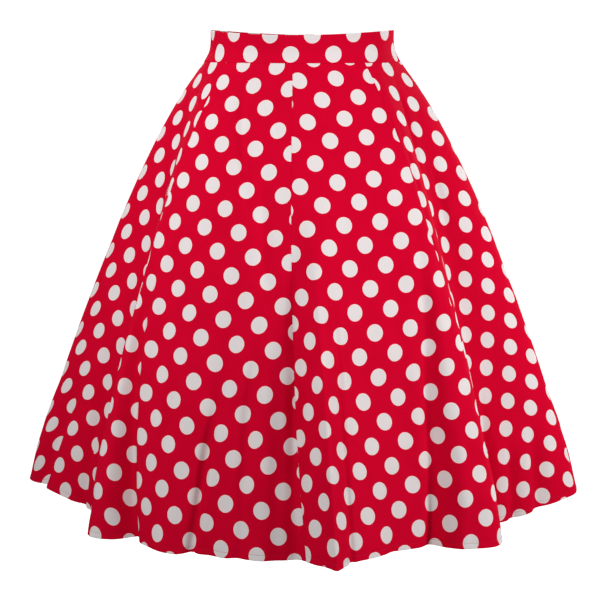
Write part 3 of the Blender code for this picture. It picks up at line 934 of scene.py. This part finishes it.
def cotton_material(name, ink):
    """Printed plain weave: staggered dots, slubs, and a fine weave in the relief."""
    nodes = Nodes(name)
    place = nodes.add("UVMap", uv_map="print").outputs["UV"]
    half = (REPEAT_ACROSS / 2, REPEAT_ALONG / 2, 0.5)
    minus_half = tuple(-x for x in half)
    squash = (1, 1 / DOT_STRETCH, 0)
    distances = []
    for shift in ((0, 0, 0), half):
        moved = nodes.vector("ADD", place, shift)
        wrapped = nodes.vector("WRAP", moved, half, minus_half)
        distances.append(nodes.vector("LENGTH", nodes.vector("MULTIPLY", wrapped, squash)))
    distance = nodes.math("MINIMUM", *distances)
    wobble = nodes.noise(place, 900, 1.0)
    distance = nodes.math("ADD", distance, nodes.math("MULTIPLY_ADD", wobble, 0.5 * MM, -0.25 * MM))
    in_dot = nodes.ramp(distance, DOT_RADIUS - 0.35 * MM, DOT_RADIUS + 0.15 * MM, 1, 0)
    in_rim = nodes.ramp(distance, DOT_RADIUS - 1.3 * MM, DOT_RADIUS - 0.2 * MM)
    stretched = nodes.vector("MULTIPLY", place, (1, 0.16, 1))
    slub = nodes.noise(stretched, 1500, 3.0, 0.6)
    cloud = nodes.noise(place, 24, 2.0)
    shade = nodes.math("ADD", nodes.math("MULTIPLY", slub, 0.55), nodes.math("MULTIPLY", cloud, 0.45))
    red = nodes.mix(nodes.ramp(shade, 0.36, 0.64), ink.red_deep, ink.red)
    white = nodes.mix(nodes.math("MULTIPLY", in_rim, 0.85), ink.white, ink.rim)
    white = nodes.mix(nodes.ramp(shade, 0.3, 0.7, 0.965, 1.0), PAPER_SHADE, white)
    nodes.colour(nodes.mix(in_dot, red, white))
    nodes.roughness(nodes.ramp(slub, 0.3, 0.7, 0.92, 0.80))
    parts = nodes.add("SeparateXYZ")
    nodes.link(place, parts.inputs[0])
    warp = nodes.math("SINE", nodes.math("MULTIPLY", parts.outputs[0], THREADS_PER_METRE * math.pi))
    weft = nodes.math("SINE", nodes.math("MULTIPLY", parts.outputs[1], THREADS_PER_METRE * math.pi))
    weave = nodes.math("MULTIPLY", warp, weft)
    height = nodes.math("MULTIPLY_ADD", weave, 0.5, nodes.math("MULTIPLY", slub, 1.2))
    nodes.bump(height, 0.35, 0.08 * MM)
    nodes.set("Specular IOR Level", 0.03)
    return nodes.material


def thread_material(name):
    """Twisted sewing thread."""
    nodes = Nodes(name)
    place = nodes.add("TexCoord").outputs["Object"]
    twist = nodes.noise(place, 4200)
    nodes.colour(nodes.mix(twist, *THREAD_TONES))
    nodes.bump(twist, 0.4, 0.05 * MM)
    nodes.set("Roughness", 0.6)
    nodes.set("Specular IOR Level", 0.3)
    return nodes.material


def tape_material(name):
    """Woven zip tape: fine slanting ribs that turn every few millimetres."""
    nodes = Nodes(name)
    place = nodes.add("UVMap", uv_map="print").outputs["UV"]
    parts = nodes.add("SeparateXYZ")
    nodes.link(place, parts.inputs[0])
    zigzag = nodes.math("PINGPONG", parts.outputs[0], TAPE_TURN)
    slant = nodes.math("ADD", parts.outputs[1], zigzag)
    rib = nodes.math("SINE", nodes.math("MULTIPLY", slant, 2 * math.pi / TAPE_RIB))
    fuzz = nodes.noise(place, 2600, 3.0, 0.6)
    height = nodes.math("MULTIPLY_ADD", rib, 0.5, fuzz)
    nodes.colour(nodes.mix(nodes.ramp(height, -0.3, 1.2), *TAPE_TONES))
    nodes.bump(height, 0.5, 0.10 * MM)
    nodes.set("Roughness", 0.85)
    nodes.set("Specular IOR Level", 0.15)
    return nodes.material


def nylon_material(name):
    """Dyed nylon wire, smooth and a little shiny, with faint streaks."""
    nodes = Nodes(name)
    place = nodes.add("TexCoord").outputs["Object"]
    streak = nodes.noise(place, 1400)
    nodes.colour(nodes.mix(streak, *NYLON_TONES))
    nodes.roughness(nodes.ramp(streak, 0.3, 0.7, 0.28, 0.42))
    nodes.set("Coat Weight", 0.15)
    return nodes.material


def lacquer_material(name):
    """Red lacquer on a small die-cast piece, a little uneven and scuffed."""
    nodes = Nodes(name)
    place = nodes.add("TexCoord").outputs["Object"]
    cloud = nodes.noise(place, 900, 3.0)
    scuff = nodes.noise(nodes.vector("MULTIPLY", place, (1, 1, 0.2)), 5200, 3.0, 0.7)
    red = nodes.mix(cloud, *LACQUER_TONES)
    worn = nodes.ramp(scuff, 0.66, 0.74)
    nodes.colour(nodes.mix(nodes.math("MULTIPLY", worn, 0.5), red, BARE_METAL))
    nodes.roughness(nodes.ramp(scuff, 0.3, 0.75, 0.22, 0.45))
    nodes.bump(cloud, 0.2, 0.05 * MM)
    nodes.set("Coat Weight", 0.4)
    return nodes.material


def glowing_material(name, glow):
    """Matt white that also glows, for the floor and the backdrop."""
    nodes = Nodes(name)
    nodes.set("Base Color", PALE)
    nodes.set("Roughness", 1.0)
    nodes.set("Specular IOR Level", 0.0)
    nodes.set("Emission Color", WHITE)
    nodes.set("Emission Strength", glow)
    return nodes.material


# Soft lamps round the skirt, all at one distance: turn from the front and rise in degrees
Lamp = namedtuple("Lamp", "name turn rise size power")
LAMPS = (
    Lamp("right", 72, 8, 0.3, 8.2),
    Lamp("upper left", -33, 35, 0.3, 7.7),
    Lamp("front", 12, 14, 0.4, 1.4),
    Lamp("left", -90, 25, 0.5, 1.9),
    Lamp("rear right", 140, 25, 0.35, 5.0),
    Lamp("rear left", -150, 35, 0.5, 4.2),
)
LAMP_DISTANCE = 1.5
LAMP_SPREAD = math.radians(140)
LAMP_AIM = Vector((0, 0, -0.24))

# The camera's fit to the photo: its focal length and sideways shift are in the photo's pixels
CAMERA_DISTANCE = 2.0
CAMERA_HEIGHT = 0.019
CAMERA_TURN = math.radians(6.5)
CAMERA_PITCH = math.radians(10.03)
PHOTO_PIXELS = 600
FOCAL_PIXELS = 1515
SHIFT_PIXELS = 2.0
SENSOR_WIDTH = 36

# The floor lies far below the hem, inside a wide pale sphere
STAGE_REACH = 14.0
FLOOR_LEVEL = -1.08
FLOOR_GLOW = 0.95
SKY_GLOW = 1.0
WORLD_LIGHT = 0.15
WHITE = (1, 1, 1, 1)
PALE = (0.9, 0.9, 0.9, 1)


def make_lamps():
    """Area lamps that the camera doesn't see."""
    for lamp in LAMPS:
        turn, rise = math.radians(lamp.turn), math.radians(lamp.rise)
        away = Vector((math.sin(turn) * math.cos(rise), -math.cos(turn) * math.cos(rise), math.sin(rise)))
        data = bpy.data.lights.new(lamp.name, "AREA")
        data.size = lamp.size
        data.energy = lamp.power
        data.spread = LAMP_SPREAD
        light = bpy.data.objects.new(lamp.name, data)
        light.location = LAMP_AIM + away * LAMP_DISTANCE
        light.rotation_euler = away.to_track_quat("Z", "Y").to_euler()
        light.visible_camera = False
        bpy.context.scene.collection.objects.link(light)


def make_camera():
    """The photograph's view: from the skirt's right a little, level with the waist, tilted down."""
    data = bpy.data.cameras.new("camera")
    data.lens = FOCAL_PIXELS * SENSOR_WIDTH / PHOTO_PIXELS
    data.sensor_width = SENSOR_WIDTH
    camera = bpy.data.objects.new("camera", data)
    aside = -SHIFT_PIXELS / FOCAL_PIXELS * CAMERA_DISTANCE
    sine, cosine = math.sin(CAMERA_TURN), math.cos(CAMERA_TURN)
    camera.location = (
        CAMERA_DISTANCE * sine + aside * cosine,
        -CAMERA_DISTANCE * cosine + aside * sine,
        CAMERA_HEIGHT,
    )
    camera.rotation_euler = (math.pi / 2 - CAMERA_PITCH, 0, CAMERA_TURN)
    bpy.context.scene.collection.objects.link(camera)
    bpy.context.scene.camera = camera


def make_stage():
    """A plain pale floor far below the hem, a pale sky, and soft studio lights."""
    ends = (-STAGE_REACH, STAGE_REACH)
    corners = [(x, y, FLOOR_LEVEL) for y in ends for x in ends]
    floor = mesh_object("floor", corners, [(0, 1, 3, 2)], (glowing_material("pale floor", FLOOR_GLOW),))
    bpy.ops.mesh.primitive_uv_sphere_add(
        segments=64, ring_count=32, radius=STAGE_REACH, location=(0, 0, FLOOR_LEVEL))
    sky = bpy.context.object
    sky.name = "backdrop"
    sky.data.materials.append(glowing_material("white backdrop", SKY_GLOW))
    for piece in (floor, sky):
        piece.visible_diffuse = piece.visible_glossy = piece.visible_transmission = False
        piece.visible_shadow = False
    world = bpy.data.worlds.new("studio")
    world.use_nodes = True
    background = world.node_tree.nodes["Background"]
    background.inputs["Color"].default_value = WHITE
    background.inputs["Strength"].default_value = WORLD_LIGHT
    bpy.context.scene.world = world
    make_lamps()


def main():
    cotton = cotton_material("printed cotton", RIGHT_SIDE)
    reverse = cotton_material("printed cotton reverse", WRONG_SIDE)
    thread = thread_material("red thread")
    runs = [make_gore(number, gore, cotton, reverse) for number, gore in enumerate(GORES)]
    for number, band in enumerate(BANDS):
        make_band(number, band, cotton, reverse)
    thread_stitches("hem_stitches", runs, thread)
    lacquer = lacquer_material("red lacquer")
    for node in ("zip_slider", "zip_pull"):
        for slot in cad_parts[node].material_slots:
            slot.material = lacquer
    make_tapes(thread, tape_material("woven tape"))
    make_coils(nylon_material("red nylon"))
    bpy.context.scene.view_settings.view_transform = "Standard"
    bpy.context.scene.view_settings.look = "None"
    make_stage()
    make_camera()
    bpy.context.view_layer.update()
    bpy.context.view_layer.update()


main()
